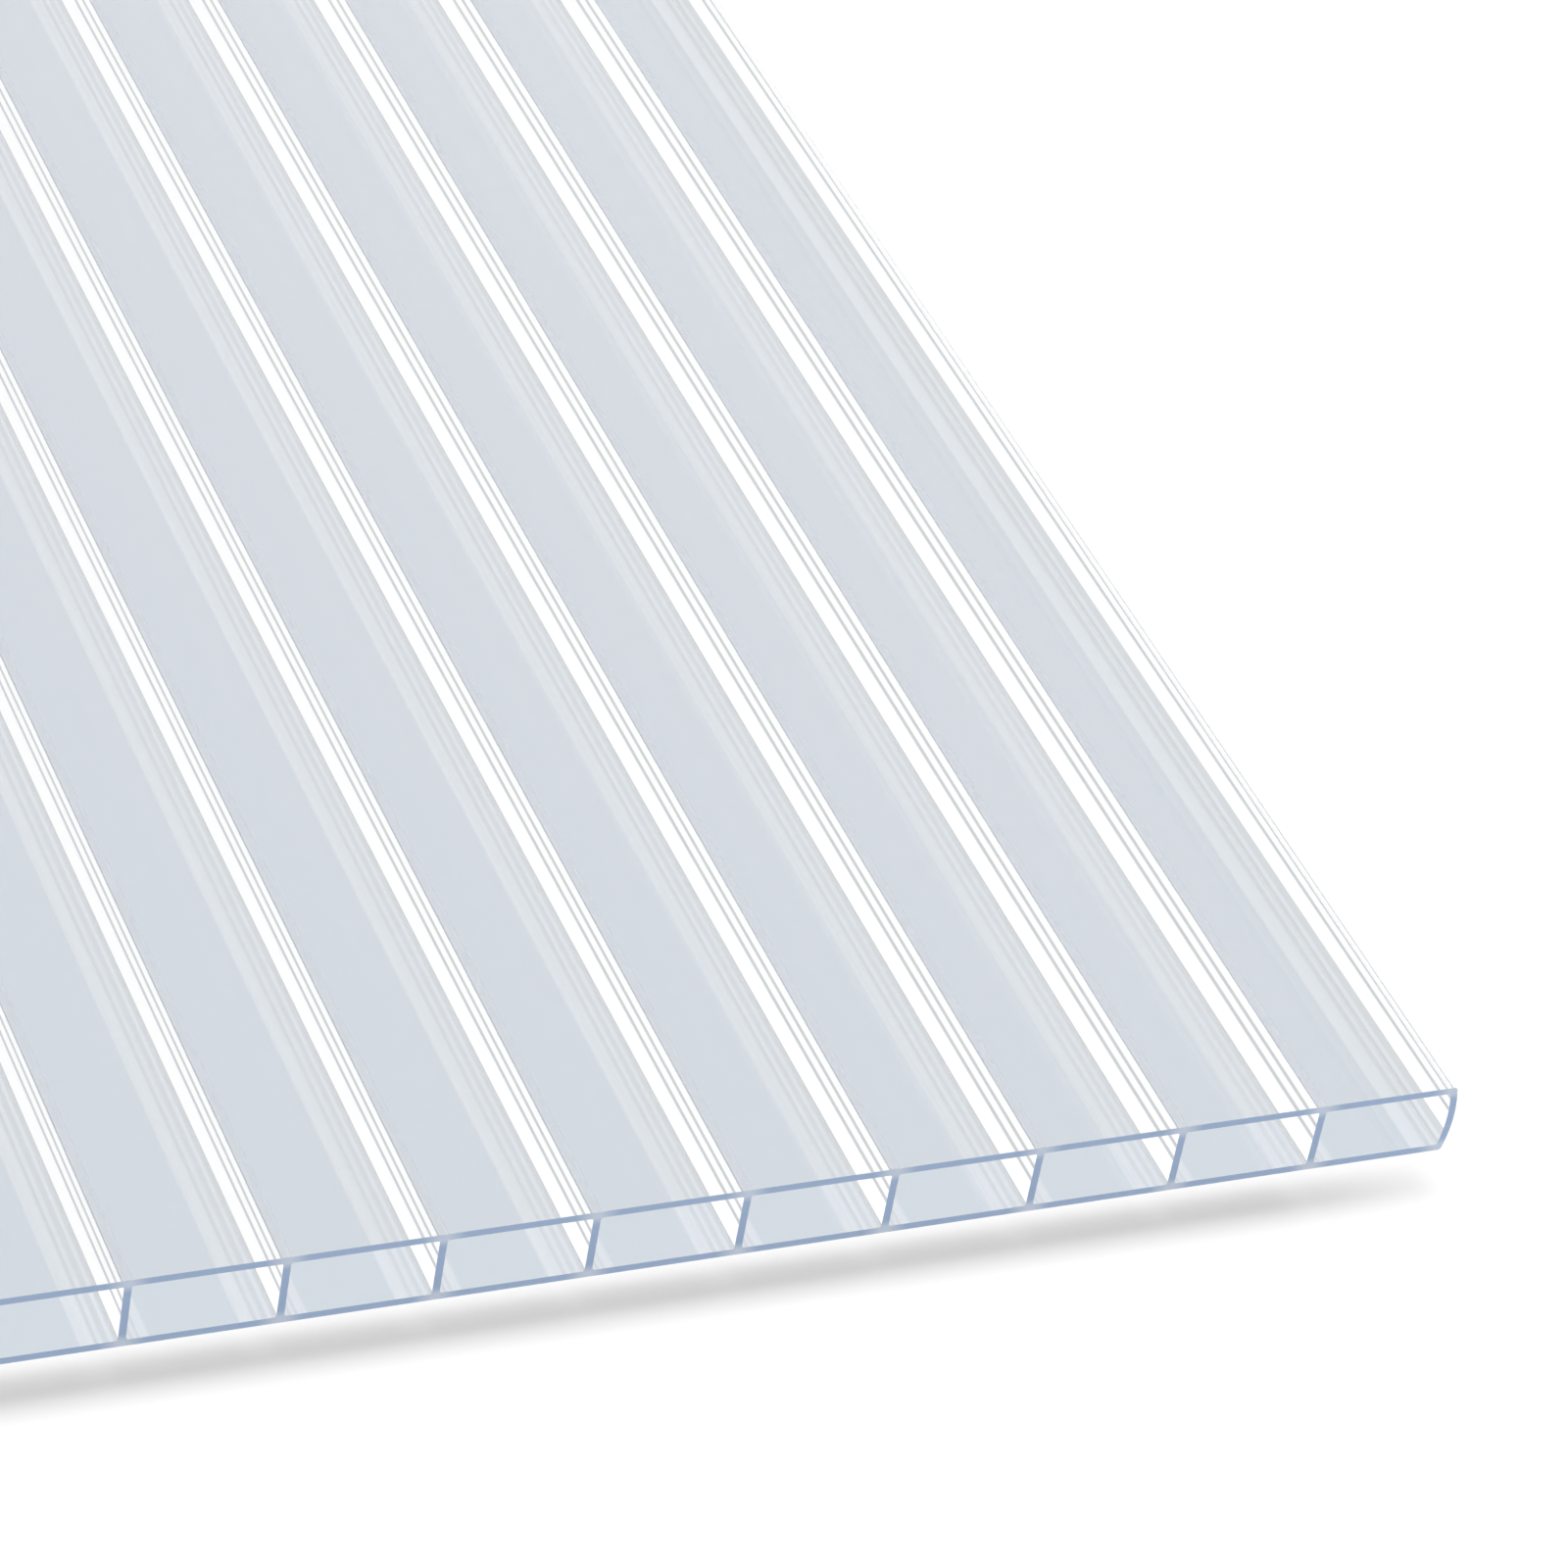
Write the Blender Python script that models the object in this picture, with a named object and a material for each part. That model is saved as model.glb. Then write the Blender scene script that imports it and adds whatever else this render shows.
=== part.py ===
"""A clear twin-wall polycarbonate glazing sheet, lying flat as it would on a level floor.

The real sheet is one extrusion. Two thin skins are held apart by upright ribs, and the two long
edges are closed by a wall that bows out a little. The flutes between the ribs run the whole
length and are open at both sawn ends.

+X runs across the ribs, +Y runs along them and +Z is up. The origin is the centre of the
underside. All lengths are in metres.
"""

import math

import bpy

# Driving dimensions of the sheet.
SHEET_WIDTH = 1.200
SHEET_LENGTH = 2.000
SHEET_THICKNESS = 0.016
RIB_PITCH = 0.030

# Walls of the extrusion.
SKIN_THICKNESS = 0.0015
RIB_THICKNESS = 0.0015
EDGE_WALL_THICKNESS = 0.0015

# How far the closed long edges bow out between their corners.
EDGE_BOW = 0.0010

# Roundings left by the die.
ROOT_FILLET = 0.0004
CORNER_RADIUS = 0.0007

# How finely the round stretches are drawn.
FILLET_STEPS = 4
BOW_STEPS = 6


def clear_scene():
    """Removes whatever the file held before."""
    for old in list(bpy.data.objects):
        bpy.data.objects.remove(old, do_unlink=True)


def rib_positions():
    """Middle of each inner rib across the sheet. The two edge flutes share what the pitch leaves over."""
    flutes = max(3, round(SHEET_WIDTH / RIB_PITCH))
    inner_ribs = flutes - 1
    first = -RIB_PITCH * (inner_ribs - 1) / 2
    return [first + RIB_PITCH * number for number in range(inner_ribs)]


def edge_face(height, inset=0.0):
    """Distance from the middle of the sheet to the bowed edge wall at one height.

    The outer face is an arc through both corners and the furthest point of the bow. The wall's
    inner face is the same arc with a radius smaller by inset.
    """
    half = SHEET_THICKNESS / 2
    radius = (half**2 + EDGE_BOW**2) / (2 * EDGE_BOW)
    centre = SHEET_WIDTH / 2 - radius
    return centre + math.sqrt((radius - inset) ** 2 - (height - half) ** 2)


def edge_wall(side, low, high, inset=0.0):
    """Points up one bowed wall face, from low to high, on the side -1 or +1."""
    heights = [low + (high - low) * step / BOW_STEPS for step in range(BOW_STEPS + 1)]
    return [(side * edge_face(height, inset), height) for height in heights]


def rounded_corner(before, corner, after, radius):
    """Points of the arc that rounds one corner, touching the straight stretches on both sides."""
    to_before = (before[0] - corner[0], before[1] - corner[1])
    to_after = (after[0] - corner[0], after[1] - corner[1])
    length_before = math.hypot(*to_before)
    length_after = math.hypot(*to_after)
    unit_before = (to_before[0] / length_before, to_before[1] / length_before)
    unit_after = (to_after[0] / length_after, to_after[1] / length_after)
    half_angle = math.acos(unit_before[0] * unit_after[0] + unit_before[1] * unit_after[1]) / 2
    tangent = min(radius / math.tan(half_angle), length_before * 0.9, length_after * 0.9)
    radius = tangent * math.tan(half_angle)

    bisector = (unit_before[0] + unit_after[0], unit_before[1] + unit_after[1])
    reach = radius / math.sin(half_angle) / math.hypot(*bisector)
    centre = (corner[0] + bisector[0] * reach, corner[1] + bisector[1] * reach)
    start = (corner[0] + unit_before[0] * tangent, corner[1] + unit_before[1] * tangent)
    start_angle = math.atan2(start[1] - centre[1], start[0] - centre[0])
    end = (corner[0] + unit_after[0] * tangent, corner[1] + unit_after[1] * tangent)
    sweep = math.atan2(end[1] - centre[1], end[0] - centre[0]) - start_angle
    sweep = (sweep + math.pi) % (2 * math.pi) - math.pi
    angles = [start_angle + sweep * step / FILLET_STEPS for step in range(FILLET_STEPS + 1)]
    return [(centre[0] + radius * math.cos(a), centre[1] + radius * math.sin(a)) for a in angles]


def rounded_outline(right_wall, left_wall, radius):
    """Closed outline up one wall and down the other, with its four corners rounded."""
    points = right_wall + left_wall
    corners = {0, len(right_wall) - 1, len(right_wall), len(points) - 1}
    outline = []
    for number, point in enumerate(points):
        if number in corners:
            before = points[number - 1]
            after = points[(number + 1) % len(points)]
            outline += rounded_corner(before, point, after, radius)
        else:
            outline.append(point)
    return outline


def sheet_outline():
    """Outside of the section: flat faces above and below, bowed walls at the sides."""
    right = edge_wall(+1, 0.0, SHEET_THICKNESS)
    left = edge_wall(-1, SHEET_THICKNESS, 0.0)
    return rounded_outline(right, left, CORNER_RADIUS)


def flute_outlines():
    """Each flute between two ribs, or between the last rib and the edge wall."""
    low = SKIN_THICKNESS
    high = SHEET_THICKNESS - SKIN_THICKNESS
    ribs = rib_positions()
    left_walls = [edge_wall(-1, high, low, EDGE_WALL_THICKNESS)]
    left_walls += [[(rib + RIB_THICKNESS / 2, high), (rib + RIB_THICKNESS / 2, low)] for rib in ribs]
    right_walls = [[(rib - RIB_THICKNESS / 2, low), (rib - RIB_THICKNESS / 2, high)] for rib in ribs]
    right_walls += [edge_wall(+1, low, high, EDGE_WALL_THICKNESS)]
    return [rounded_outline(right, left, ROOT_FILLET) for right, left in zip(right_walls, left_walls)]


def add_loop(curve, outline):
    """Adds one closed loop of the section to the flat curve."""
    loop = curve.splines.new("POLY")
    loop.points.add(len(outline) - 1)
    for point, (across, height) in zip(loop.points, outline):
        point.co = (across, height, 0.0, 1.0)
    loop.use_cyclic_u = True


def clear_polycarbonate():
    """Clear, slightly blue polycarbonate with the gloss of a polished die."""
    material = bpy.data.materials.new("clear_polycarbonate")
    material.use_nodes = True
    surface = material.node_tree.nodes["Principled BSDF"]
    surface.inputs["Base Color"].default_value = (0.67, 0.70, 0.76, 1.0)
    surface.inputs["Metallic"].default_value = 0.0
    surface.inputs["Roughness"].default_value = 0.06
    surface.inputs["IOR"].default_value = 1.585
    surface.inputs["Transmission Weight"].default_value = 1.0
    return material


def extruded_sheet(collection):
    """The whole sheet: its section as a flat curve, pushed out to the sheet's length."""
    curve = bpy.data.curves.new("twin_wall_section", "CURVE")
    curve.dimensions = "2D"
    curve.fill_mode = "BOTH"
    curve.extrude = SHEET_LENGTH / 2
    add_loop(curve, sheet_outline())
    for outline in flute_outlines():
        add_loop(curve, outline)
    curve.materials.append(clear_polycarbonate())

    sheet = bpy.data.objects.new("twin_wall_sheet", curve)
    sheet.rotation_euler = (math.pi / 2, 0.0, 0.0)
    collection.objects.link(sheet)
    return sheet


def main():
    clear_scene()
    collection = bpy.data.collections.new("twin_wall_polycarbonate_sheet")
    bpy.context.scene.collection.children.link(collection)
    extruded_sheet(collection)


main()
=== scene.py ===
# %% [markdown]
# # A clear twin-wall polycarbonate sheet
#
# The object is a clear glazing sheet for roofs and greenhouses. Melted polycarbonate is pushed
# through a wide die, so the whole sheet is one piece: two thin skins, upright ribs that hold them
# apart, and a slightly bowed wall that closes each long edge. A saw cuts it to length and leaves
# the flutes between the ribs open at both ends.
#
# Almost everything that the eye sees here is light going through clear plastic. The script first
# draws the section exactly, with its rounded roots and die lines, and pushes it out to length.
# Then it gives each surface of that one piece its own finish, and last it sets up the light.

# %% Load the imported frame
import math

import bmesh
import bpy
from mathutils import Matrix, Vector


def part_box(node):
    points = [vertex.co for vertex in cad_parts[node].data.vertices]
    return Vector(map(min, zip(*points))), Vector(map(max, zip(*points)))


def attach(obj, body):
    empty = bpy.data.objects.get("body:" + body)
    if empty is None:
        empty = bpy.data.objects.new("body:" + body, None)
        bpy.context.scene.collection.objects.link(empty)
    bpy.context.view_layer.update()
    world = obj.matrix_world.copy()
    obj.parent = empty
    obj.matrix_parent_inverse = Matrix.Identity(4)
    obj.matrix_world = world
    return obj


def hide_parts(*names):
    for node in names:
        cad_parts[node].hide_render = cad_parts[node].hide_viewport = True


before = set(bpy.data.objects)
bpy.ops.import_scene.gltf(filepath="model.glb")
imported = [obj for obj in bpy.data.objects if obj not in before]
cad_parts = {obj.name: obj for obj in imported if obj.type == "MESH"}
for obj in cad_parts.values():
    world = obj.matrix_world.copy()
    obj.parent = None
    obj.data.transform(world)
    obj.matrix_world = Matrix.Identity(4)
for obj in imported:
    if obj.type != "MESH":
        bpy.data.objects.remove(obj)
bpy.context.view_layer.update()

# %% [markdown]
# ## Sizes
#
# On the real sheet these are the sizes that the die and the saw set. The outer three could be
# typed in here as well, but they come from the frame, so that the sheet drawn here always fills
# the solid it stands for. The walls are written out in millimetres, as a die maker would note
# them, and everything else is worked out from both.

# %% Sizes of the extrusion, in metres
MM = 0.001
low_corner, high_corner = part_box("twin_wall_sheet")
sheet_width, sheet_length, sheet_thickness = high_corner - low_corner

rib_pitch = 30 * MM
rib_wall = 1.5 * MM
skin = 1.5 * MM
edge_wall = 1.5 * MM
edge_bow = 1.0 * MM
root_fillet = 0.4 * MM
corner_radius = 0.7 * MM

flute_count = round(sheet_width / rib_pitch)
last_rib = rib_pitch * (flute_count - 2) / 2
edge_wall_face = sheet_width / 2 - edge_bow - edge_wall
outer_sizes = " x ".join(f"{extent:.3f}" for extent in (sheet_width, sheet_length, sheet_thickness))
print(flute_count, "flutes in a sheet of", outer_sizes, "m")

# %% [markdown]
# ## Two small helpers
#
# Colours are written as the sRGB hex values that a designer picks from a screen. Blender mixes
# light in linear values, so one function converts them.
#
# The other function adds a node to any tree: its settings, then its sockets. A socket takes a
# plain value, another node's output, or a list of outputs where several go into one. It also
# takes a sum, written as ("SUBTRACT", a, b), which keeps the sums of a tree as short to read as
# the same sums in plain Python.
#
# A Mix node has several sockets of one name, one for each kind of value. The ones for colours
# are told by their numbers, so those numbers get names here.

# %% Colour and node helpers
MIX_SHARE, MIX_FIRST, MIX_SECOND = 0, 6, 7
MIX_RESULT = 2


def linear(hex_colour):
    """An sRGB hex colour such as #D5D9E1 as linear RGBA."""
    channels = [int(hex_colour[place : place + 2], 16) / 255 for place in (1, 3, 5)]
    return tuple(c / 12.92 if c <= 0.04045 else ((c + 0.055) / 1.055) ** 2.4 for c in channels) + (1.0,)


def add_node(tree, kind, sockets=None, **settings):
    """Adds one node with its settings, and fills its sockets with values, outputs or sums."""
    node = tree.nodes.new(kind)
    for name, value in settings.items():
        setattr(node, name, value)
    for name, value in (sockets or {}).items():
        for part in value if isinstance(value, list) else [value]:
            if isinstance(part, tuple) and isinstance(part[0], str):
                terms = dict(enumerate(part[1:]))
                part = add_node(tree, "ShaderNodeMath", terms, operation=part[0]).outputs[0]
            if isinstance(part, bpy.types.NodeSocket):
                tree.links.new(part, node.inputs[name])
            else:
                node.inputs[name].default_value = part
    return node


print("mid grey in linear light:", [round(channel, 3) for channel in linear("#808080")])

# %% [markdown]
# ## What all finishes share
#
# Polycarbonate bends light more than window glass does: its index of refraction is 1.585, so its
# surfaces also mirror a little more. All finishes here are this one plastic, and they differ by
# how light meets it.
#
# A path tracer can't find a lamp through a refractive surface, so the inside of the sheet would
# go dark and its shadow black. Real caustics would mend that, but take thousands of samples. So
# every finish lets shadow rays and diffuse rays straight through with a slight tint, while the
# camera, mirror and refraction rays meet the real plastic.

# %% Shared parts of the finishes
POLYCARBONATE_IOR = 1.585
LAMP_CLEAR = "#FEFEFE"
line_depth = 0.05 * MM


def new_finish(name):
    """An empty material and its node tree."""
    material = bpy.data.materials.new(name)
    material.use_nodes = True
    material.node_tree.nodes.clear()
    return material, material.node_tree


def finish_output(tree, surface, lamp_tint):
    """Joins the plastic to the output, and lets lamp light through it with lamp_tint."""
    path = add_node(tree, "ShaderNodeLightPath").outputs
    passes = ("MAXIMUM", path["Is Shadow Ray"], path["Is Diffuse Ray"])
    through = add_node(tree, "ShaderNodeBsdfTransparent", {"Color": lamp_tint})
    mixed = add_node(
        tree,
        "ShaderNodeMixShader",
        {0: passes, 1: surface.outputs[0], 2: through.outputs[0]},
    )
    add_node(tree, "ShaderNodeOutputMaterial", {"Surface": mixed.outputs[0]})


def fine_lines(tree, spacing_mm, strength):
    """A bump of faint uneven lines, with their spacing along X, Y and Z in millimetres."""
    place = add_node(tree, "ShaderNodeTexCoord").outputs["Object"]
    scale = tuple(1 / (spacing * MM) for spacing in spacing_mm)
    stretched = add_node(tree, "ShaderNodeMapping", {"Vector": place, "Scale": scale}).outputs[0]
    waves = add_node(tree, "ShaderNodeTexNoise", {"Vector": stretched, "Scale": 1.0, "Detail": 2.0})
    bump = {"Height": waves.outputs["Fac"], "Strength": strength, "Distance": line_depth}
    return add_node(tree, "ShaderNodeBump", bump).outputs[0]


def colour_bands(tree, reading, reach_mm, bands):
    """A colour for each distance, from a list of (start in mm, hex colour)."""
    share = add_node(tree, "ShaderNodeMapRange", {"Value": reading, "From Max": reach_mm * MM})
    ramp = add_node(tree, "ShaderNodeValToRGB", {"Fac": share.outputs[0]})
    ramp.color_ramp.interpolation = "CONSTANT"
    stops = ramp.color_ramp.elements
    stops.remove(stops[1])
    stops[0].color = linear(bands[0][1])
    for start_mm, hex_colour in bands[1:]:
        stops.new(start_mm / reach_mm).color = linear(hex_colour)
    return ramp.outputs[0]


print("each face lets", round(linear(LAMP_CLEAR)[0], 3), "of the lamp light through")

# %% [markdown]
# ## Upper skin: clear, polished polycarbonate
#
# The upper skin slides along a polished, cooled plate as it sets, so it is as clear and glossy as
# glass. A glass shader alone would look too perfect. The Principled shader with full transmission
# takes a little bump for the long, faint waves that the plate leaves, which only show where the
# skin mirrors something.
#
# Near a sawn end, part of the light that falls into the skin runs along it and leaves by the
# rough cut face, and never reaches the floor. That gives the soft grey band that lies a few
# millimetres in front of the sheet on a white table. Only the tint for lamp light is darker there,
# and only for light on its way to the floor, which is told by its longer way. The skin itself
# stays clear, and so do the ribs below it. The strip's shade fades out between two distances from the
# sawn end, and weakens towards the sheet's corners, between two distances from its long side.

# %% Upper skin
SKIN_CLEAR = "#F7F7F7"
END_STRIP_SHADE = "#4B4B4C"
skin_roughness = 0.015
plate_waves = {"spacing_mm": (6, 900, 6), "strength": 0.05}
strip_fade = {"From Min": 6.6 * MM, "From Max": 10.6 * MM, "To Min": 1.0, "To Max": 0.0}
corner_fade = {"From Min": -9.0 * MM, "From Max": 38.0 * MM}
way_to_floor = 18.8 * MM


def clear_skin_finish():
    """Clear extruded polycarbonate with the gloss of a polished plate."""
    material, tree = new_finish("clear_polished_polycarbonate")
    surface = add_node(
        tree,
        "ShaderNodeBsdfPrincipled",
        {
            "Base Color": linear(SKIN_CLEAR),
            "Roughness": skin_roughness,
            "IOR": POLYCARBONATE_IOR,
            "Transmission Weight": 1.0,
            "Normal": fine_lines(tree, **plate_waves),
        },
    )
    place = add_node(tree, "ShaderNodeTexCoord").outputs["Object"]
    parts = add_node(tree, "ShaderNodeSeparateXYZ", {0: place}).outputs
    to_end = ("SUBTRACT", sheet_length / 2, ("ABSOLUTE", parts["Y"]))
    in_strip = add_node(tree, "ShaderNodeMapRange", {"Value": to_end, **strip_fade}).outputs[0]
    to_side = ("SUBTRACT", sheet_width / 2, ("ABSOLUTE", parts["X"]))
    off_corner = add_node(tree, "ShaderNodeMapRange", {"Value": to_side, **corner_fade}).outputs[0]
    path = add_node(tree, "ShaderNodeLightPath").outputs
    to_floor = ("GREATER_THAN", path["Ray Length"], way_to_floor)
    lamp_to_floor = ("MULTIPLY", path["Is Shadow Ray"], to_floor)
    shaded = ("MULTIPLY", lamp_to_floor, ("MULTIPLY", in_strip, off_corner))
    lamp_tint = add_node(
        tree,
        "ShaderNodeMix",
        {MIX_SHARE: shaded, MIX_FIRST: linear(LAMP_CLEAR), MIX_SECOND: linear(END_STRIP_SHADE)},
        data_type="RGBA",
    )
    finish_output(tree, surface, lamp_tint.outputs[MIX_RESULT])
    return material


finishes = {"Upper Skin": clear_skin_finish()}
print("made", finishes["Upper Skin"].name)

# %% [markdown]
# ## Lower skin: a grey-blue tint with pale bands of painted reflection
#
# The lower skin carries the slight tint that cuts glare, so the wide stretches between the ribs
# look grey-blue. Beside each rib's foot lies a pale band with a few fine lines in it, a painted
# reflection of the rib.
#
# The bands could be painted on a texture, but they repeat with the ribs. So they are worked out
# from the distance to the nearest rib or edge wall: the remainder of X over one pitch tells how
# far the last rib and the next one are, and a colour ramp gives each distance its tint. On the
# right of a rib the bands are narrower, so its distance is stretched. Beside an edge wall there
# are fewer of them, so it has its own list.

# %% Lower skin
LOWER_TINT = "#D2DAE3"
# pale bands and lines beside each rib and edge wall: a painted reflection of the rib
PAINTED_REFLECTION_BAND = "#DFE5EB"
PAINTED_REFLECTION_LINE = "#D2D8DF"
reflection_bands_by_rib = [
    (0.0, PAINTED_REFLECTION_LINE),
    (0.5, PAINTED_REFLECTION_BAND),
    (1.3, PAINTED_REFLECTION_LINE),
    (2.45, PAINTED_REFLECTION_BAND),
    (3.4, PAINTED_REFLECTION_LINE),
    (4.05, PAINTED_REFLECTION_BAND),
    (6.8, LOWER_TINT),
]
reflection_bands_by_wall = [
    (0.0, PAINTED_REFLECTION_BAND),
    (0.8, PAINTED_REFLECTION_LINE),
    (1.5, PAINTED_REFLECTION_BAND),
    (4.7, LOWER_TINT),
]
reflection_reach_mm = 15
narrower_on_right = 1.5


def rib_distance(parts, right_stretch=1.0):
    """Distance across the sheet to the nearest face of a rib, in metres."""
    in_pitch = ("FLOORED_MODULO", parts["X"], rib_pitch)
    right_of_rib = ("MULTIPLY", ("SUBTRACT", in_pitch, rib_wall / 2), right_stretch)
    left_of_next = ("SUBTRACT", rib_pitch - rib_wall / 2, in_pitch)
    return ("MINIMUM", right_of_rib, left_of_next)


def wall_distance(parts):
    """Distance across the sheet to the inner face of the nearest edge wall, in metres."""
    return ("SUBTRACT", edge_wall_face, ("ABSOLUTE", parts["X"]))


def lower_skin_finish():
    """The tinted skin, with a painted reflection of each rib as pale bands beside it."""
    material, tree = new_finish("tinted_polycarbonate_painted_reflections")
    place = add_node(tree, "ShaderNodeTexCoord").outputs["Object"]
    parts = add_node(tree, "ShaderNodeSeparateXYZ", {0: place}).outputs
    reflection_by_rib = colour_bands(tree, rib_distance(parts, narrower_on_right), reflection_reach_mm, reflection_bands_by_rib)
    to_wall = wall_distance(parts)
    reflection_by_wall = colour_bands(tree, to_wall, reflection_reach_mm, reflection_bands_by_wall)
    last_reflection_band_end = reflection_bands_by_wall[-1][0] * MM
    wall_reflection_zone = ("LESS_THAN", to_wall, last_reflection_band_end)
    colour = add_node(
        tree,
        "ShaderNodeMix",
        {MIX_SHARE: wall_reflection_zone, MIX_FIRST: reflection_by_rib, MIX_SECOND: reflection_by_wall},
        data_type="RGBA",
    )
    surface = add_node(
        tree,
        "ShaderNodeBsdfPrincipled",
        {
            "Base Color": colour.outputs[MIX_RESULT],
            "Roughness": skin_roughness,
            "IOR": POLYCARBONATE_IOR,
            "Transmission Weight": 1.0,
            "Normal": fine_lines(tree, **plate_waves),
        },
    )
    finish_output(tree, surface, linear(LAMP_CLEAR))
    return material


finishes["Lower Skin"] = lower_skin_finish()
print("made", finishes["Lower Skin"].name, "with", len(reflection_bands_by_rib) - 1, "bands on each side of a rib")

# %% [markdown]
# ## Ribs: milky polycarbonate with two die lines
#
# The ribs never touch a polished plate. They cool in the air of the flutes, so their faces come
# out milky, and in a lit room they show as the brightest streaks of the sheet. Two fine lines,
# where the die's halves meet, run along each rib. Its foot is greyer, a painted shade where the
# rib meets the lower skin. On the bowed edge walls that painted shade is taller, with a paler band
# in it, and the two lines lie higher. The side of a wall that looks away from the bright side of
# the room is painted a little bluer, a painted shade.
#
# A weaker, rougher glass would show noise and go grey, so the milky face is an opaque white
# surface. That is right for the side that faces the flute. Someone who looks straight down on a
# rib looks into the plastic instead, where the tint adds up, so the same face seen from inside
# the plastic takes the grey-blue of the skins. The fillet under the upper skin looks up from
# inside and catches more light, so its tint is darker, by how flat it lies. An edge wall shows
# next to nothing of its inside, so it keeps its milky colours there.

# %% Ribs
RIB_WHITE = "#FEFEFE"
DIE_LINE_GREY = "#C0C3C6"
# greyer foot of each rib, taller banded foot of the edge walls: painted shade where wall meets skin
PAINTED_FOOT_SHADE = "#C0C4C8"
PAINTED_WALL_ROOT_SHADE = "#C4C8CC"
PAINTED_WALL_FOOT_SHADE = "#CACED1"
WALL_FOOT_PALE = "#D5DBE1"
# multiplied onto faces that look away from the bright side of the room: painted shade
PAINTED_SHADE_SIDE_TINT = "#EFF5FE"
INSIDE_TINT = "#CBD0D8"
INSIDE_FILLET_TINT = "#B9BEC6"
die_lines = {"Upper Die Line": 11.2 * MM, "Lower Die Line": 8.1 * MM}
die_line_width = 1.1 * MM
edge_line_lift = 2.4 * MM
rib_foot_shade = [(0.0, PAINTED_FOOT_SHADE), (2.2, RIB_WHITE)]
edge_wall_foot_shade = [
    (0.0, PAINTED_WALL_ROOT_SHADE),
    (2.5, WALL_FOOT_PALE),
    (3.6, PAINTED_WALL_FOOT_SHADE),
    (5.6, RIB_WHITE),
]
upright_face = 0.9


def upright_bands(tree, height, foot, lift):
    """Colours up one upright wall: painted shade at its foot, then white with die lines, moved up by
    lift.
    """
    bands = list(foot)
    for line in sorted(die_lines.values()):
        start = (line + lift - die_line_width / 2) / MM
        bands += [(start, DIE_LINE_GREY), (start + die_line_width / MM, RIB_WHITE)]
    return colour_bands(tree, height, sheet_thickness / MM, bands)


def rib_finish():
    """Milky extruded polycarbonate, with the die's lines, and painted shade at its foot and shade side.
    """
    material, tree = new_finish("milky_extruded_polycarbonate")
    place = add_node(tree, "ShaderNodeTexCoord").outputs["Object"]
    parts = add_node(tree, "ShaderNodeSeparateXYZ", {0: place}).outputs
    inner_rib = ("LESS_THAN", ("ABSOLUTE", parts["X"]), last_rib + rib_wall)
    on_wall = upright_bands(tree, parts["Z"], edge_wall_foot_shade, edge_line_lift)
    on_rib = upright_bands(tree, parts["Z"], rib_foot_shade, 0.0)
    banded = add_node(
        tree,
        "ShaderNodeMix",
        {MIX_SHARE: inner_rib, MIX_FIRST: on_wall, MIX_SECOND: on_rib},
        data_type="RGBA",
    ).outputs[MIX_RESULT]
    face = add_node(tree, "ShaderNodeNewGeometry").outputs
    looks_right, _, looks_up = add_node(tree, "ShaderNodeSeparateXYZ", {0: face["Normal"]}).outputs
    # upright faces that look right get the pale blue: painted shade
    painted_shade_side = ("GREATER_THAN", looks_right, upright_face)
    flute_side = add_node(
        tree,
        "ShaderNodeMix",
        {MIX_SHARE: painted_shade_side, MIX_FIRST: banded, MIX_SECOND: linear(PAINTED_SHADE_SIDE_TINT)},
        data_type="RGBA",
        blend_type="MULTIPLY",
    ).outputs[MIX_RESULT]
    lies_flat = ("ABSOLUTE", looks_up)
    inside = add_node(
        tree,
        "ShaderNodeMix",
        {MIX_SHARE: lies_flat, MIX_FIRST: linear(INSIDE_TINT), MIX_SECOND: linear(INSIDE_FILLET_TINT)},
        data_type="RGBA",
    ).outputs[MIX_RESULT]
    from_inside = ("MULTIPLY", face["Backfacing"], inner_rib)
    colour = add_node(
        tree,
        "ShaderNodeMix",
        {MIX_SHARE: from_inside, MIX_FIRST: flute_side, MIX_SECOND: inside},
        data_type="RGBA",
    )
    surface = add_node(
        tree,
        "ShaderNodeBsdfPrincipled",
        {
            "Base Color": colour.outputs[MIX_RESULT],
            "Roughness": 0.35,
            "IOR": POLYCARBONATE_IOR,
            "Normal": fine_lines(tree, spacing_mm=(1.2, 400, 1.2), strength=0.05),
        },
    )
    finish_output(tree, surface, linear(LAMP_CLEAR))
    return material


finishes["Ribs"] = rib_finish()
line_heights = [round(height / MM, 1) for height in die_lines.values()]
print("made", finishes["Ribs"].name, "with die lines at", line_heights, "mm")

# %% [markdown]
# ## Sawn ends: satin blue
#
# At a sawn end the eye looks along the plastic and not through it, so the tint of the whole
# length adds up to a clear blue. The saw leaves the face satin, with fine upright scratches.
# Where a rib meets a skin, light leaks in from both, and the blue turns to a paler lavender.
#
# Volume absorption would give the blue by itself, but it needs many bounces and would make the
# skins blue too. A satin surface with two colours is quicker, and stays in its place.

# %% Sawn ends
SAWN_BLUE = "#9CB3D4"
JUNCTION_LAVENDER = "#C6D2E4"
lavender_reach = 3.6 * MM


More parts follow.
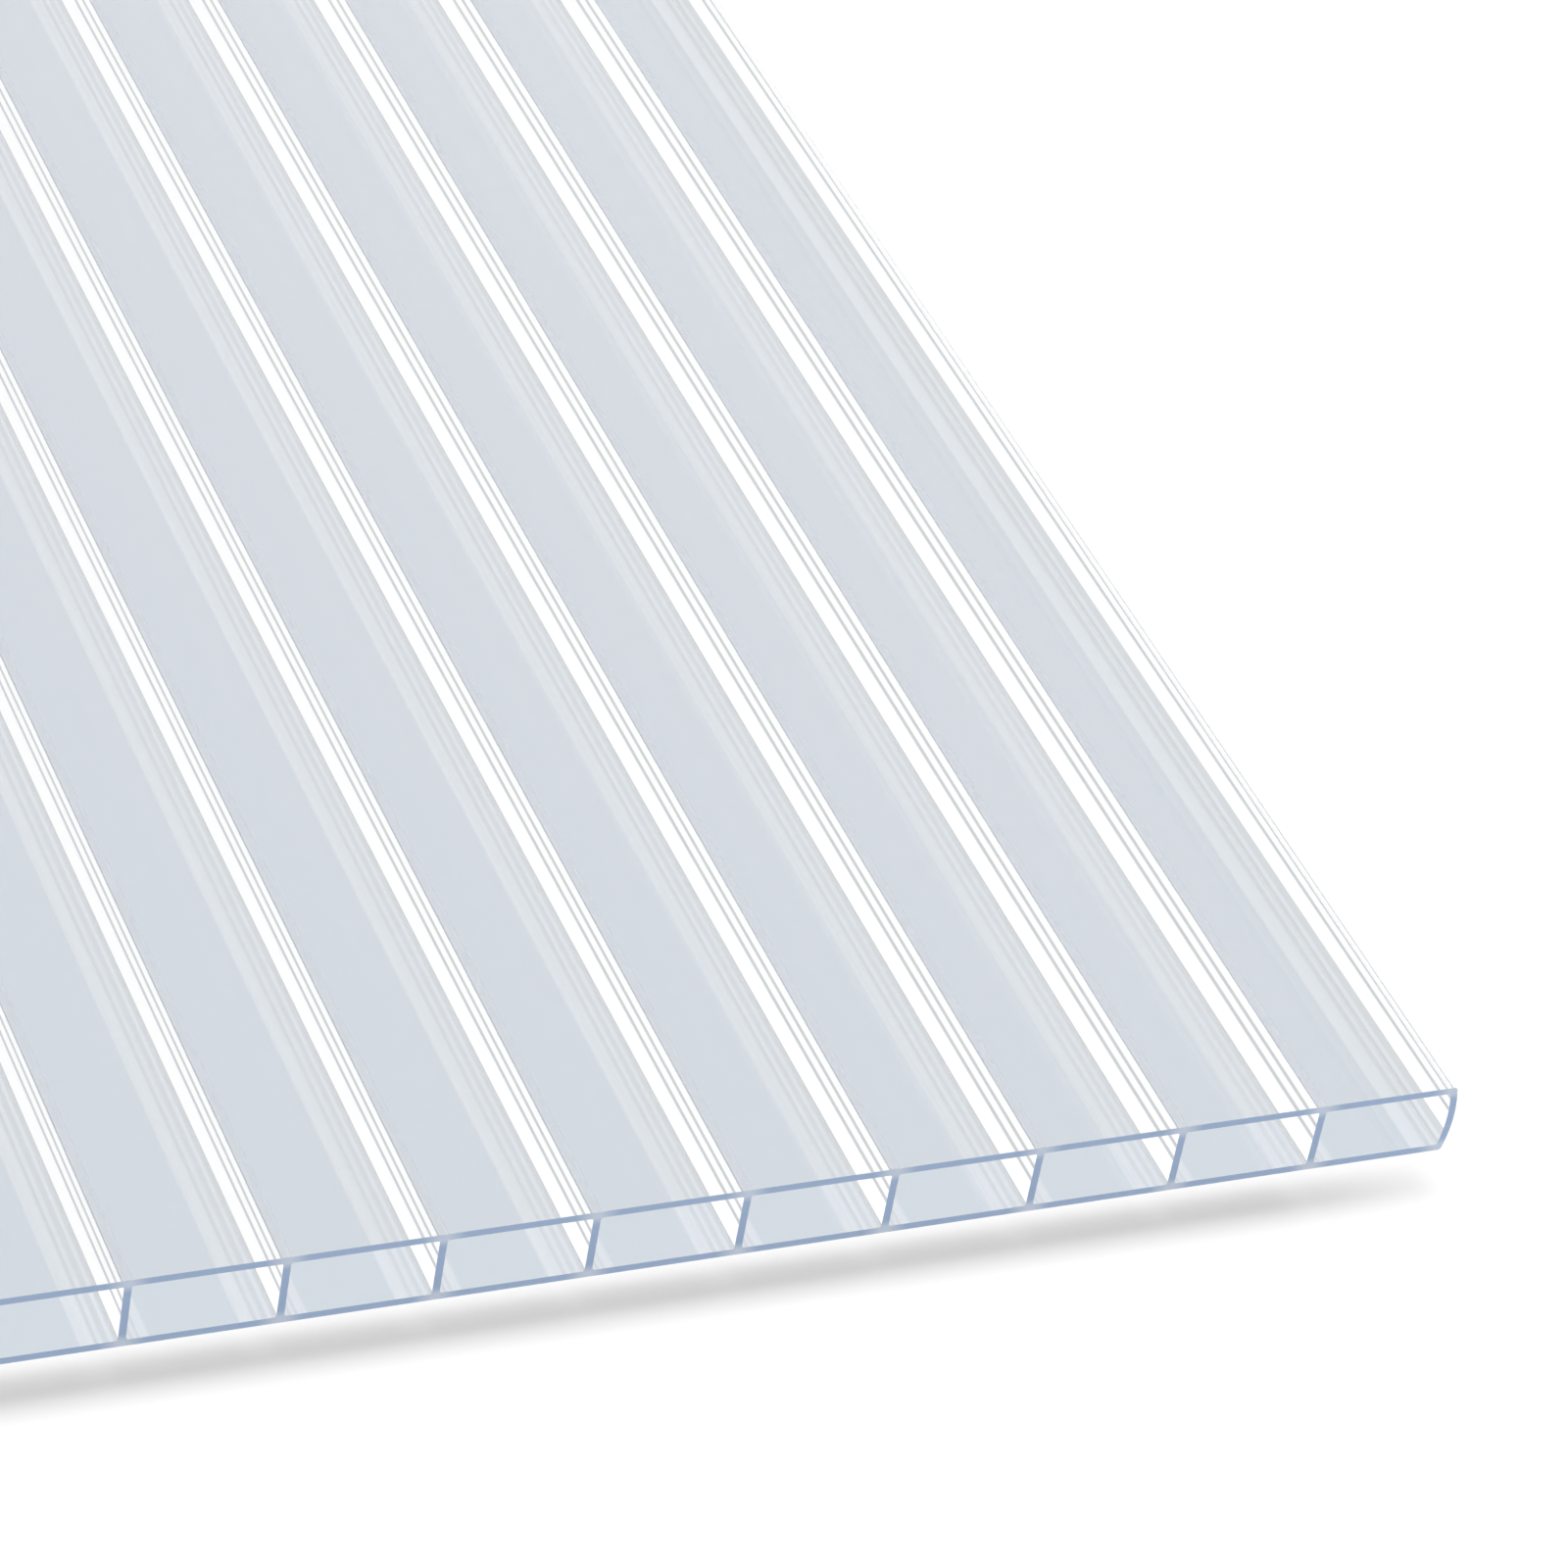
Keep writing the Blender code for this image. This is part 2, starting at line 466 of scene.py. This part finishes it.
def sawn_end_finish():
    """The satin blue of polycarbonate seen edge-on, paler where its walls meet."""
    material, tree = new_finish("sawn_polycarbonate")
    place = add_node(tree, "ShaderNodeTexCoord").outputs["Object"]
    parts = add_node(tree, "ShaderNodeSeparateXYZ", {0: place}).outputs
    to_upright = ("MINIMUM", rib_distance(parts), wall_distance(parts))
    near_upright = add_node(
        tree,
        "ShaderNodeMapRange",
        {"Value": to_upright, "From Max": lavender_reach, "To Min": 1.0, "To Max": 0.0},
    )
    from_middle = ("ABSOLUTE", ("SUBTRACT", parts["Z"], sheet_thickness / 2))
    near_skin = add_node(
        tree,
        "ShaderNodeMapRange",
        {
            "Value": from_middle,
            "From Min": sheet_thickness / 2 - 2 * skin,
            "From Max": sheet_thickness / 2 - skin,
        },
    )
    colour = add_node(
        tree,
        "ShaderNodeMix",
        {
            MIX_SHARE: ("MULTIPLY", near_upright.outputs[0], near_skin.outputs[0]),
            MIX_FIRST: linear(SAWN_BLUE),
            MIX_SECOND: linear(JUNCTION_LAVENDER),
        },
        data_type="RGBA",
    )
    surface = add_node(
        tree,
        "ShaderNodeBsdfPrincipled",
        {
            "Base Color": colour.outputs[MIX_RESULT],
            "Roughness": 0.45,
            "IOR": POLYCARBONATE_IOR,
            "Normal": fine_lines(tree, spacing_mm=(0.5, 0.5, 12), strength=0.2),
        },
    )
    finish_output(tree, surface, linear(LAMP_CLEAR))
    return material


finishes["Sawn Ends"] = sawn_end_finish()
print("finishes:", [material.name for material in finishes.values()])

# %% [markdown]
# ## The sheet's shape
#
# The section repeats every 30 mm and never changes along the sheet, so it follows a rule, and
# Geometry Nodes can draw it. The tree makes one flute's outline, copies it across the sheet,
# presses the die lines into its side walls, adds the outer outline, fills what lies between
# them, and pushes that flat section out to the sheet's length.
#
# A block with 40 cutters and a Boolean would give the same flutes, but slower and with rougher
# corners. Every size is a named input of the tree, so another sheet takes only other numbers.

# %% Start the tree and name its sizes
tree = bpy.data.node_groups.new("twin_wall_extrusion", "GeometryNodeTree")
tree.interface.new_socket("Geometry", in_out="OUTPUT", socket_type="NodeSocketGeometry")
tree_sizes = {
    "Width": sheet_width,
    "Length": sheet_length,
    "Thickness": sheet_thickness,
    "Inner Flutes": flute_count - 2,
    "Rib Pitch": rib_pitch,
    "Rib Wall": rib_wall,
    "Skin": skin,
    "Last Rib": last_rib,
    "Edge Wall Face": edge_wall_face,
    "Edge Bow": edge_bow,
    "Root Fillet": root_fillet,
    "Corner Radius": corner_radius,
    "Die Line Width": die_line_width,
    "Die Line Depth": 0.04 * MM,
    "Edge Line Lift": edge_line_lift,
    **die_lines,
}
for name, value in tree_sizes.items():
    kind = "NodeSocketInt" if isinstance(value, int) else "NodeSocketFloat"
    tree.interface.new_socket(name, in_out="INPUT", socket_type=kind)
for name in finishes:
    tree.interface.new_socket(name, in_out="INPUT", socket_type="NodeSocketMaterial")
size = add_node(tree, "NodeGroupInput").outputs
print("named inputs:", ", ".join([*tree_sizes, *finishes]))

# %% [markdown]
# ## Outlines of the flutes
#
# Each flute is a rectangle with filleted corners. An arc of six short steps is smooth enough for
# a fillet of under a millimetre. The upright sides need more points between their ends, for the
# die lines and for the bow of the edge walls, and the wide sides need none. Blender draws a
# rectangle from its upper right corner to the left, so the upright sides start at the last arc
# point of every second corner.

# %% Rounded rectangles
arc_steps = 6
upright_cuts = 60
index_slack = 0.5  # two point numbers that differ by less are the same


def rounded_rectangle(width, height, radius):
    """A rectangle with filleted corners, and many short steps up its upright sides."""
    sides = {"Width": width, "Height": height}
    corners = add_node(tree, "GeometryNodeCurvePrimitiveQuadrilateral", sides)
    rounded = add_node(
        tree,
        "GeometryNodeFilletCurve",
        {"Curve": corners.outputs[0], "Count": arc_steps, "Radius": radius, "Limit Radius": True},
        mode="POLY",
    )
    number = add_node(tree, "GeometryNodeInputIndex").outputs[0]
    two_corners = 2 * (arc_steps + 1)
    starts_upright = ("COMPARE", ("MODULO", number, two_corners), two_corners - 1, index_slack)
    stepped = {"Curve": rounded.outputs[0], "Cuts": ("MULTIPLY", starts_upright, upright_cuts)}
    return add_node(tree, "GeometryNodeSubdivideCurve", stepped).outputs[0]


flute_height = ("SUBTRACT", size["Thickness"], ("MULTIPLY", size["Skin"], 2.0))
flute_width = ("SUBTRACT", size["Rib Pitch"], size["Rib Wall"])
inner_flute = rounded_rectangle(flute_width, flute_height, size["Root Fillet"])

edge_flute_start = ("ADD", size["Last Rib"], ("DIVIDE", size["Rib Wall"], 2.0))
edge_flute_width = ("SUBTRACT", size["Edge Wall Face"], edge_flute_start)
edge_flute = rounded_rectangle(edge_flute_width, flute_height, size["Root Fillet"])

chord_width = ("SUBTRACT", size["Width"], ("MULTIPLY", size["Edge Bow"], 2.0))
outside = rounded_rectangle(chord_width, size["Thickness"], size["Corner Radius"])
print("points round one flute:", 4 * (arc_steps + 1) + 2 * upright_cuts)

# %% [markdown]
# ## Copies across the sheet
#
# The inner flutes stand at even steps, so a line of points carries them, one instance on each.
# The two edge flutes are a little narrower, and a Transform puts one at each side.

# %% Copies
first_flute = ("SUBTRACT", ("DIVIDE", size["Rib Pitch"], 2.0), size["Last Rib"])
flute_places = add_node(
    tree,
    "GeometryNodeMeshLine",
    {
        "Count": size["Inner Flutes"],
        "Start Location": add_node(tree, "ShaderNodeCombineXYZ", {"X": first_flute}).outputs[0],
        "Offset": add_node(tree, "ShaderNodeCombineXYZ", {"X": size["Rib Pitch"]}).outputs[0],
    },
    mode="OFFSET",
    count_mode="TOTAL",
)
inner_flutes = add_node(
    tree,
    "GeometryNodeInstanceOnPoints",
    {"Points": flute_places.outputs[0], "Instance": inner_flute},
)
flute_groups = [inner_flutes.outputs[0]]
edge_flute_middle = ("DIVIDE", ("ADD", size["Edge Wall Face"], edge_flute_start), 2.0)
for hand in (-1.0, 1.0):
    sideways = add_node(tree, "ShaderNodeCombineXYZ", {"X": ("MULTIPLY", edge_flute_middle, hand)})
    moved = {"Geometry": edge_flute, "Translation": sideways.outputs[0]}
    flute_groups.append(add_node(tree, "GeometryNodeTransform", moved).outputs[0])
all_flutes = add_node(tree, "GeometryNodeJoinGeometry", {"Geometry": flute_groups}).outputs[0]
flutes = add_node(tree, "GeometryNodeRealizeInstances", {"Geometry": all_flutes}).outputs[0]
print(flute_count, "flute outlines")

# %% [markdown]
# ## Die lines in the flute walls
#
# The die lines are shallow grooves, deepest in the middle. They could be left to the material's
# bump, but a real groove also catches light from the side. A flute's outline runs down its left
# wall and up its right wall, so the tangent's Y tells both which points lie on an upright wall
# and which way is into the plastic.

# %% Die lines
upright_heading = 0.999
place = add_node(tree, "GeometryNodeInputPosition").outputs[0]
across, up, _ = add_node(tree, "ShaderNodeSeparateXYZ", {0: place}).outputs
tangent = add_node(tree, "GeometryNodeInputTangent").outputs[0]
heading = add_node(tree, "ShaderNodeSeparateXYZ", {0: tangent}).outputs["Y"]
middle = ("DIVIDE", size["Thickness"], 2.0)
edge_start = ("SUBTRACT", size["Edge Wall Face"], size["Root Fillet"])
on_edge_wall = ("GREATER_THAN", ("ABSOLUTE", across), edge_start)
lift = ("MULTIPLY", on_edge_wall, size["Edge Line Lift"])
groove = 0.0
for line in die_lines:
    line_height = ("SUBTRACT", ("ADD", size[line], lift), middle)
    away = ("ABSOLUTE", ("SUBTRACT", up, line_height))
    share = ("DIVIDE", away, ("DIVIDE", size["Die Line Width"], 2.0))
    groove = ("ADD", groove, ("MAXIMUM", ("SUBTRACT", 1.0, share), 0.0))
depth = ("MULTIPLY", ("MULTIPLY", groove, size["Die Line Depth"]), heading)
grooved_flutes = add_node(
    tree,
    "GeometryNodeSetPosition",
    {
        "Geometry": flutes,
        "Selection": ("GREATER_THAN", ("ABSOLUTE", heading), upright_heading),
        "Offset": add_node(tree, "ShaderNodeCombineXYZ", {"X": depth}).outputs[0],
    },
).outputs[0]
print("die lines pressed into both walls of every flute")

# %% [markdown]
# ## Bowed edge walls
#
# The hot edge walls bulge a little before they set. Both faces of each wall, the outer outline
# and the edge flute's own side, move out by the same parabola: nothing at the skins and the full
# bow at half height. That keeps the wall as thick as it was drawn.

# %% Bow
all_outlines = {"Geometry": [grooved_flutes, outside]}
outlines = add_node(tree, "GeometryNodeJoinGeometry", all_outlines).outputs[0]
height_share = ("DIVIDE", up, middle)
bow = ("MULTIPLY", ("SUBTRACT", 1.0, ("MULTIPLY", height_share, height_share)), size["Edge Bow"])
outwards = add_node(tree, "ShaderNodeCombineXYZ", {"X": ("MULTIPLY", bow, ("SIGN", across))})
section_lines = add_node(
    tree,
    "GeometryNodeSetPosition",
    {"Geometry": outlines, "Selection": on_edge_wall, "Offset": outwards.outputs[0]},
).outputs[0]
print(f"edge walls bow out by {edge_bow / MM:.1f} mm")

# %% [markdown]
# ## From outlines to a solid
#
# Fill Curve turns the outlines into a flat patch of triangles with 40 holes. Extrude moves that
# patch to the other end and leaves walls behind it, but no face at the start. So the same patch,
# turned over, closes the start, and a merge welds it to the walls. The section was drawn flat,
# with its height along Y, and a quarter turn about X lays the sheet on the floor.

# %% Fill, extrude, close and lay down
section = add_node(tree, "GeometryNodeFillCurve", {"Curve": section_lines}, mode="TRIANGLES").outputs[0]
full_length = add_node(tree, "ShaderNodeCombineXYZ", {"Z": size["Length"]}).outputs[0]
pushed = add_node(
    tree,
    "GeometryNodeExtrudeMesh",
    {"Mesh": section, "Offset": full_length, "Offset Scale": 1.0, "Individual": False},
    mode="FACES",
)
start_face = add_node(tree, "GeometryNodeFlipFaces", {"Mesh": section})
both_ends = [pushed.outputs["Mesh"], start_face.outputs[0]]
joined = add_node(tree, "GeometryNodeJoinGeometry", {"Geometry": both_ends}).outputs[0]
weld = 0.01 * MM
solid = add_node(tree, "GeometryNodeMergeByDistance", {"Geometry": joined, "Distance": weld}).outputs[0]
half_length = ("DIVIDE", size["Length"], 2.0)
to_floor = add_node(tree, "ShaderNodeCombineXYZ", {"Y": half_length, "Z": middle}).outputs[0]
quarter_turn = (math.radians(90), 0.0, 0.0)
laying = {"Geometry": solid, "Translation": to_floor, "Rotation": quarter_turn}
laid = add_node(tree, "GeometryNodeTransform", laying).outputs[0]
laid = add_node(tree, "GeometryNodeRealizeInstances", {"Geometry": laid}).outputs[0]
print("nodes so far:", len(tree.nodes))

# %% [markdown]
# ## Each surface gets its finish
#
# Each face is told apart by where it looks and where it lies. Everything starts as upper skin.
# What lies below half height is lower skin, whatever leans even a little sideways is a rib,
# fillet or edge wall, and whatever looks along the sheet is a sawn end. A later finish covers an
# earlier one.

# %% Set the finishes
sideways_lean = 0.05
endways_lean = 0.5
facing = add_node(tree, "GeometryNodeInputNormal").outputs[0]
facing_x, facing_y, _ = add_node(tree, "ShaderNodeSeparateXYZ", {0: facing}).outputs
_, _, face_height = add_node(tree, "ShaderNodeSeparateXYZ", {0: place}).outputs
surfaces = {
    "Upper Skin": True,
    "Lower Skin": ("LESS_THAN", face_height, middle),
    "Ribs": ("GREATER_THAN", ("ABSOLUTE", facing_x), sideways_lean),
    "Sawn Ends": ("GREATER_THAN", ("ABSOLUTE", facing_y), endways_lean),
}
finished = laid
for name, chosen in surfaces.items():
    wanted = {"Geometry": finished, "Selection": chosen, "Material": size[name]}
    finished = add_node(tree, "GeometryNodeSetMaterial", wanted).outputs[0]
add_node(tree, "NodeGroupOutput", {"Geometry": finished})
print("the tree has", len(tree.nodes), "nodes")

# %% [markdown]
# ## Run the tree and keep a plain mesh
#
# The tree needs an object to run on, and its inputs are set by their identifiers before the
# object is first evaluated. The result is copied into a plain mesh, so that nothing is left to
# compute later. It is shaded flat: the arcs have short enough steps to look round, and a smooth
# normal that leans at the edge of a skin would bend the light across the whole flute.

# %% Run the tree
drawing = bpy.data.objects.new("twin_wall_drawing", bpy.data.meshes.new("twin_wall_drawing"))
bpy.context.scene.collection.objects.link(drawing)
modifier = drawing.modifiers.new("twin_wall_extrusion", "NODES")
modifier.node_group = tree
inputs = [item for item in tree.interface.items_tree if item.in_out == "INPUT"]
identifiers = {item.name: item.identifier for item in inputs}
for name, value in {**tree_sizes, **finishes}.items():
    modifier[identifiers[name]] = value

evaluated = drawing.evaluated_get(bpy.context.evaluated_depsgraph_get())
sheet_mesh = bpy.data.meshes.new_from_object(evaluated)
sheet_mesh.name = "polycarbonate_sheet"
sheet_mesh.materials.pop(index=0)  # the tree leaves an empty slot ahead of the four finishes
sheet_mesh.shade_flat()
bpy.data.objects.remove(drawing)
mesh_finishes = [material.name for material in sheet_mesh.materials]
print(len(sheet_mesh.polygons), "faces, finishes:", mesh_finishes)

# %% [markdown]
# ## Is the sheet closed?
#
# Light bends rightly only through a closed solid, because a ray that enters the plastic has to
# leave it again. Each edge of such a mesh joins exactly two faces, so the others are counted. The
# signed volume also comes out positive only when the faces look outwards.

# %% Check the mesh
LITRES_PER_CUBIC_METRE = 1000
shell = bmesh.new()
shell.from_mesh(sheet_mesh)
open_edges = sum(1 for edge in shell.edges if not edge.is_manifold)
litres = shell.calc_volume(signed=True) * LITRES_PER_CUBIC_METRE
print(f"open edges: {open_edges}, volume: {litres:.3f} litres")
shell.free()

# %% [markdown]
# ## In place of the plain solid
#
# The frame holds the same sheet as a plain solid, of one material. The drawn sheet takes that
# solid's place and rides on the part's only body.

# %% Stand in for the imported solid
sheet = bpy.data.objects.new("polycarbonate_sheet", sheet_mesh)
bpy.context.scene.collection.objects.link(sheet)
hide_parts("twin_wall_sheet")
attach(sheet, "root")
print("the sheet replaces its solid and rides on the root body")

# %% [markdown]
# ## A white floor that keeps the shadow
#
# Clear plastic shows whatever lies behind it, so the floor is half of its look. A matt pale
# floor takes the lamps' light and the sheet's shadow. A very small glow, for the camera alone,
# lifts the lit floor to white. What the sheet mirrors, or shows behind it, is a plain white of
# strength 1, because light that has passed through glass finds no lamp there. The camera sees
# that white too where the floor is far from the sheet and its shadow, so it meets the white room
# with no horizon line.

# %% Floor
FLOOR_PALE = "#EDEDED"
camera_glow = 0.033
white_fade = {"From Min": 1.5, "From Max": 2.4}
floor_size = 40.0
floor_drop = 0.2 * MM

floor_material, floor_tree = new_finish("pale_studio_floor")
path = add_node(floor_tree, "ShaderNodeLightPath").outputs
matt = add_node(floor_tree, "ShaderNodeBsdfDiffuse", {"Color": linear(FLOOR_PALE)})
glow_strength = ("MULTIPLY", path["Is Camera Ray"], camera_glow)
glow = add_node(floor_tree, "ShaderNodeEmission", {"Strength": glow_strength})
lit = add_node(floor_tree, "ShaderNodeAddShader", {0: matt.outputs[0], 1: glow.outputs[0]})
plain_white = add_node(floor_tree, "ShaderNodeEmission", {"Strength": 1.0})
mirrored_or_behind = ("MAXIMUM", path["Is Glossy Ray"], path["Is Transmission Ray"])
floor_place = add_node(floor_tree, "ShaderNodeTexCoord").outputs["Object"]
from_middle = add_node(floor_tree, "ShaderNodeVectorMath", {0: floor_place}, operation="LENGTH")
far_span = {"Value": from_middle.outputs["Value"], **white_fade}
far_off = add_node(floor_tree, "ShaderNodeMapRange", far_span).outputs[0]
far_in_view = ("MULTIPLY", path["Is Camera Ray"], far_off)
floor_surface = add_node(
    floor_tree,
    "ShaderNodeMixShader",
    {0: ("MAXIMUM", mirrored_or_behind, far_in_view), 1: lit.outputs[0], 2: plain_white.outputs[0]},
)
add_node(floor_tree, "ShaderNodeOutputMaterial", {"Surface": floor_surface.outputs[0]})
floor_material.cycles.emission_sampling = "NONE"

bpy.ops.mesh.primitive_plane_add(size=floor_size, location=(0.0, 0.0, -floor_drop))
floor = bpy.context.object
floor.name = "floor"
floor.data.materials.append(floor_material)
print("floor just below the sheet, at", round(floor.location.z / MM, 2), "mm")

# %% [markdown]
# ## Soft light from the room
#
# The room is brighter on the left, as beside a large window, so the ribs' left faces come out
# white. To the camera it is plain white all round. The sheet mirrors and lets through the same
# white from above, and a greyer one from near the horizon, so that it stands out from the floor
# in a low view. Both changes follow the direction that a ray looks in, whose X and Z run from -1
# to 1.

# %% Room light
ROOM_WHITE = "#FFFFFF"
left_level, right_level = 2.0, 0.2
horizon_level = 0.3
slope = {"From Min": -1.0, "From Max": 0.2, "To Min": left_level, "To Max": right_level}
rise = {"From Min": 0.2, "From Max": 0.48, "To Min": horizon_level, "To Max": 1.0}

world = bpy.data.worlds.new("soft_white_room")
bpy.context.scene.world = world
world.use_nodes = True
room_tree = world.node_tree
room_tree.nodes.clear()
direction = add_node(room_tree, "ShaderNodeTexCoord").outputs["Generated"]
to_right, _, upwards = add_node(room_tree, "ShaderNodeSeparateXYZ", {0: direction}).outputs
light_level = add_node(room_tree, "ShaderNodeMapRange", {"Value": to_right, **slope}).outputs[0]
mirror_level = add_node(room_tree, "ShaderNodeMapRange", {"Value": upwards, **rise}).outputs[0]
path = add_node(room_tree, "ShaderNodeLightPath").outputs
mirrored_or_through = ("MAXIMUM", path["Is Glossy Ray"], path["Is Transmission Ray"])
seen = ("MAXIMUM", path["Is Camera Ray"], mirrored_or_through)
seen_level = ("MAXIMUM", path["Is Camera Ray"], mirror_level)
levels = {"Value": seen, "To Min": light_level, "To Max": seen_level}
strength = add_node(room_tree, "ShaderNodeMapRange", levels)
room_light = {"Color": linear(ROOM_WHITE), "Strength": strength.outputs[0]}
room = add_node(room_tree, "ShaderNodeBackground", room_light)
add_node(room_tree, "ShaderNodeOutputWorld", {"Surface": room.outputs[0]})
world.cycles.sampling_method = "NONE"
print("room light:", left_level, "on the left and", right_level, "on the right")

# %% [markdown]
# ## One softbox behind the sheet
#
# A single large softbox, high behind the sheet and to its right, makes the soft shadow in front
# of it. Its size sets how soft the shadow's edge is. It is hidden from mirrored rays, so no lamp
# shows as a patch on the skin.

# %% Softbox
lamp = bpy.data.lights.new("back_softbox", "AREA")
lamp.shape = "SQUARE"
lamp.size = 2.8
lamp.energy = 557.0
softbox = bpy.data.objects.new("back_softbox", lamp)
lit_point = Vector((0.5, -1.0, 0.0))
to_lamp = Vector((2.3, 5.25, 7.0))
softbox.location = lit_point + to_lamp
softbox.rotation_euler = to_lamp.to_track_quat("Z", "Y").to_euler()
softbox.visible_camera = False
softbox.visible_glossy = False
softbox.visible_transmission = False
bpy.context.scene.collection.objects.link(softbox)
print("softbox", round(to_lamp.length, 1), "m from the front edge")

# %% [markdown]
# ## Camera
#
# The camera looks down over the front right corner of the sheet, as the picture of such a sheet
# in a catalogue does, with a long lens and a slight roll. Its place and angles are written out,
# and its axes are worked out from them, because a plain rotation can't be read as easily.

# %% Camera
camera_place = Vector((0.0108, -1.8057, 0.7976))
yaw, pitch, roll = (math.radians(angle) for angle in (28.10, 36.85, 10.91))
ahead = Vector((math.sin(yaw) * math.cos(pitch), math.cos(yaw) * math.cos(pitch), -math.sin(pitch)))
level_right = Vector((math.cos(yaw), -math.sin(yaw), 0.0))
level_up = level_right.cross(ahead)
right = level_right * math.cos(roll) + level_up * math.sin(roll)
up_axis = level_up * math.cos(roll) - level_right * math.sin(roll)

camera_data = bpy.data.cameras.new("camera")
camera_data.sensor_width = 36.0
camera_data.lens = 149.1
camera_data.clip_start = 0.05
camera_data.clip_end = 100.0
camera = bpy.data.objects.new("camera", camera_data)
turn = Matrix((right, up_axis, -ahead)).transposed()
camera.matrix_world = Matrix.Translation(camera_place) @ turn.to_4x4()
bpy.context.scene.collection.objects.link(camera)
bpy.context.scene.camera = camera
print("camera at", [round(part, 3) for part in camera_place], "with a lens of", camera_data.lens, "mm")

# %% [markdown]
# ## Colour and light paths
#
# The Standard view shows a colour as it is written. Clear plastic needs more bounces than the
# defaults give: a ray crosses four faces for each flute it passes, and the faces it crosses as a
# shadow ray count as transparent ones.

# %% Colour and light paths
scene = bpy.context.scene
scene.view_settings.view_transform = "Standard"
scene.cycles.max_bounces = 16
scene.cycles.transmission_bounces = 16
scene.cycles.transparent_max_bounces = 32
scene.cycles.glossy_bounces = 6
scene.cycles.diffuse_bounces = 3
print("bounces:", scene.cycles.max_bounces)
